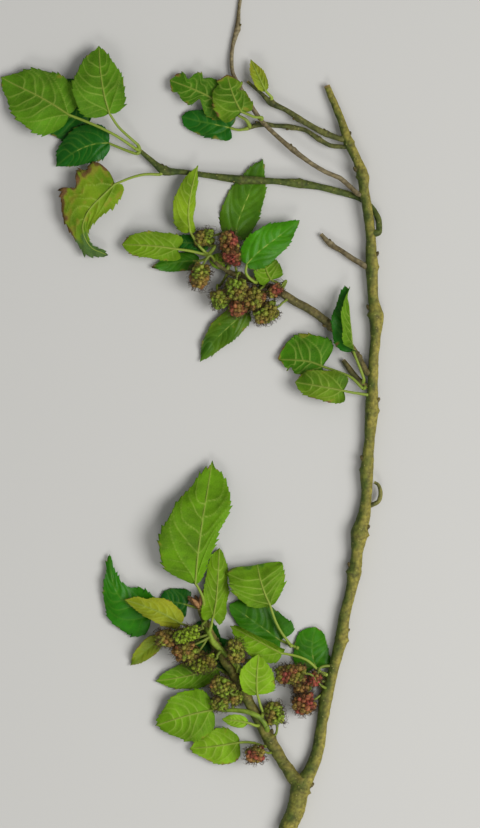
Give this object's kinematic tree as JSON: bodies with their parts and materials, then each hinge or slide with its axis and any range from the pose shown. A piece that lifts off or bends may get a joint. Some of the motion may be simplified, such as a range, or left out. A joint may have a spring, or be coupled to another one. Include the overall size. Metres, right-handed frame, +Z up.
{
  "type": "mulberry sprig",
  "caption": "Cut mulberry sprig lying flat: a slender woody stem with side branches, clusters of toothed oval leaves and small bristly unripe berries.",
  "frame": {"origin": "centre of the bounding box in plan, at the height of the surface it lies on", "axes": "+Y along the main stem towards its tip, +X to the right seen from above, +Z up from the surface"},
  "size_m": [0.1378, 0.3054, 0.014],
  "materials": {
    "bark": "rough olive brown bark",
    "green_shoot": "smooth green young wood",
    "leaf_green": "matt underside, slightly glossy upper side",
    "leaf_yellowed": "matt, yellowing, brown at the edges",
    "berry_ripening": "moist drupelets with dark threads",
    "berry_unripe": "moist drupelets with dark threads"
  },
  "bodies": {
    "root": {"main_stem": "bark", "fork_branch": "bark", "long_branch": "bark", "thin_twig": "bark", "upper_shoot_a": "bark", "upper_shoot_b": "bark", "dead_stub": "bark", "mid_fruit_branch": "bark", "spur_stub": "bark", "curled_shoot": "green_shoot", "fork_shoot_high": "green_shoot", "fork_shoot_low": "green_shoot", "leaf_a1": "leaf_green", "leaf_a2": "leaf_green", "leaf_a3": "leaf_green", "leaf_a3b": "leaf_green", "leaf_a4": "leaf_yellowed", "leaf_b1": "leaf_green", "leaf_b2": "leaf_yellowed", "leaf_b3": "leaf_green", "leaf_b4": "leaf_yellowed", "leaf_c1": "leaf_green", "leaf_c2": "leaf_green", "leaf_c3": "leaf_green", "leaf_c4": "leaf_green", "leaf_c5": "leaf_green", "leaf_c6": "leaf_green", "leaf_c7": "leaf_green", "leaf_d1": "leaf_green", "leaf_d2": "leaf_green", "leaf_d3": "leaf_green", "leaf_e1": "leaf_green", "leaf_e2": "leaf_green", "leaf_e3": "leaf_green", "leaf_e4": "leaf_green", "leaf_e5": "leaf_yellowed", "leaf_e6": "leaf_yellowed", "leaf_e7": "leaf_green", "leaf_e8": "leaf_green", "leaf_e9": "leaf_green", "leaf_e10": "leaf_green", "leaf_e11": "leaf_green", "leaf_e12": "leaf_green", "leaf_e13": "leaf_green", "leaf_e14": "leaf_green", "leaf_e15": "leaf_green", "berry_m1": "berry_ripening", "berry_m2": "berry_ripening", "berry_m3": "berry_ripening", "berry_m4": "berry_ripening", "berry_m5": "berry_ripening", "berry_e1": "berry_unripe", "berry_e2": "berry_ripening", "berry_e3": "berry_unripe", "berry_e4": "berry_unripe", "berry_e5": "berry_unripe", "berry_e6": "berry_unripe", "berry_e7": "berry_ripening", "berry_e8": "berry_ripening", "berry_e9": "berry_ripening"}
  },
  "joints": []
}
